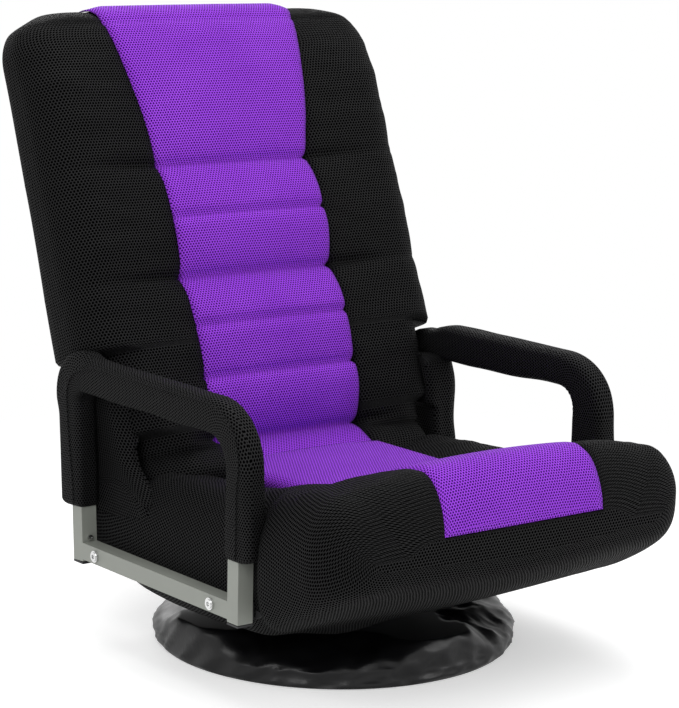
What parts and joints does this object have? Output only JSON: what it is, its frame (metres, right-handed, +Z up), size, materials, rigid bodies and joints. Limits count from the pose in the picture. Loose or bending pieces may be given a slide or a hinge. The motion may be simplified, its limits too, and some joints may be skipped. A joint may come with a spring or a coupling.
{
  "type": "floor gaming chair",
  "caption": "Low swivel floor chair with a reclining channelled backrest, a raised seat front and padded loop armrests on a round base.",
  "frame": {"origin": "on the floor, under the middle of the whole chair at rest; the swivel axis stands 17 mm in front of it", "axes": "+Z up, the sitter faces -Y, the sitter's left is +X"},
  "size_m": [0.5384, 0.7017, 0.7352],
  "materials": {
    "foot_rubber": "moulded rubber",
    "cover_cloth": "thin woven dust cover",
    "black_frame": "black powder coat",
    "zinc_plate": "zinc plated",
    "bright_screw": "nickel plated",
    "hinge_steel": "plain pressed steel",
    "grey_tube": "satin grey paint",
    "arm_mesh": "black air mesh sleeve over foam",
    "plug_plastic": "moulded",
    "black_mesh": "black air mesh over foam",
    "purple_mesh": "purple air mesh over foam"
  },
  "bodies": {
    "base": {"base_feet": "foot_rubber", "base_ring": "black_frame", "base_arms": "black_frame", "base_hub_plate": "black_frame", "base_cover": "cover_cloth", "swivel_lower_plate": "zinc_plate", "swivel_lower_bolts": "bright_screw", "swivel_ball_cage": "zinc_plate", "swivel_balls": "zinc_plate", "swivel_rivet": "zinc_plate"},
    "seat": {"swivel_upper_plate": "zinc_plate", "swivel_upper_bolts": "bright_screw", "seat_cross_bar_front": "black_frame", "seat_cross_bar_rear": "black_frame", "seat_side_tube_left": "black_frame", "seat_side_tube_right": "black_frame", "seat_front_tube": "black_frame", "seat_cushion": "black_mesh", "seat_centre_panel": "purple_mesh", "armrest_frame_left": "grey_tube", "armrest_frame_right": "grey_tube", "armrest_rail_left": "grey_tube", "armrest_rail_right": "grey_tube", "armrest_pad_left": "arm_mesh", "armrest_pad_right": "arm_mesh", "armrest_bolts_left": "bright_screw", "armrest_bolts_right": "bright_screw", "armrest_nuts": "bright_screw", "armrest_screws": "bright_screw", "armrest_foot_plugs": "plug_plastic", "hinge_lower_bracket_left": "hinge_steel", "hinge_lower_bracket_right": "hinge_steel", "hinge_pins": "bright_screw", "hinge_pin_nuts": "bright_screw", "hinge_pawls": "hinge_steel", "hinge_pawl_pins": "bright_screw", "hinge_pawl_springs": "bright_screw"},
    "backrest": {"hinge_upper_bracket_left": "hinge_steel", "hinge_upper_bracket_right": "hinge_steel", "back_side_tube_left": "black_frame", "back_side_tube_right": "black_frame", "back_top_tube": "black_frame", "back_cross_bars": "black_frame", "back_cushion": "black_mesh", "back_centre_panel": "purple_mesh"}
  },
  "joints": [
    {"name": "swivel", "type": "hinge", "parent": "base", "child": "seat", "pos_m": [0, -0.017, 0.05], "axis": [0, 0, 1], "continuous": true},
    {"name": "recline", "type": "hinge", "parent": "seat", "child": "backrest", "pos_m": [0, 0.099, 0.15], "axis": [-1, 0, 0], "range_deg": [-20.4, 69.6]}
  ]
}
